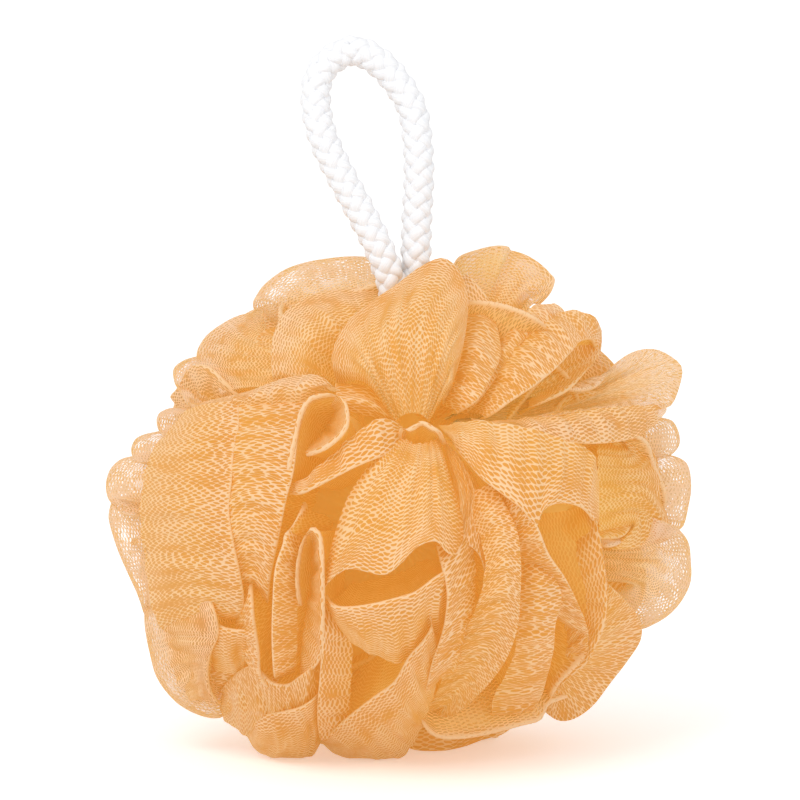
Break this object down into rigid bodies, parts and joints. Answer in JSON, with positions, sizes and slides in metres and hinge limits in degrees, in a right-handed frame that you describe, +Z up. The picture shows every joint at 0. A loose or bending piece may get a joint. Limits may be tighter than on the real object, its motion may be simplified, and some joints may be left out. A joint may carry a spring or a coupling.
{
  "type": "mesh bath pouf",
  "caption": "Ball of gathered, ruffled mesh netting tied round its middle by a thick braided cord that stands up as a hanging loop.",
  "frame": {"origin": "middle of the flattened underside that the pouf rests on", "axes": "+Z up through the hanging loop, -Y towards the viewer of the picture, +X to the viewer's right, along the ball's longest side"},
  "size_m": [0.1166, 0.11, 0.1427],
  "materials": {
    "netting": "extruded polyethylene mesh netting, soft and slightly glossy, light orange",
    "cord": "thick braided cord, soft white"
  },
  "bodies": {
    "root": {"net_ruffles": "netting", "hanging_cord": "cord"}
  },
  "joints": []
}
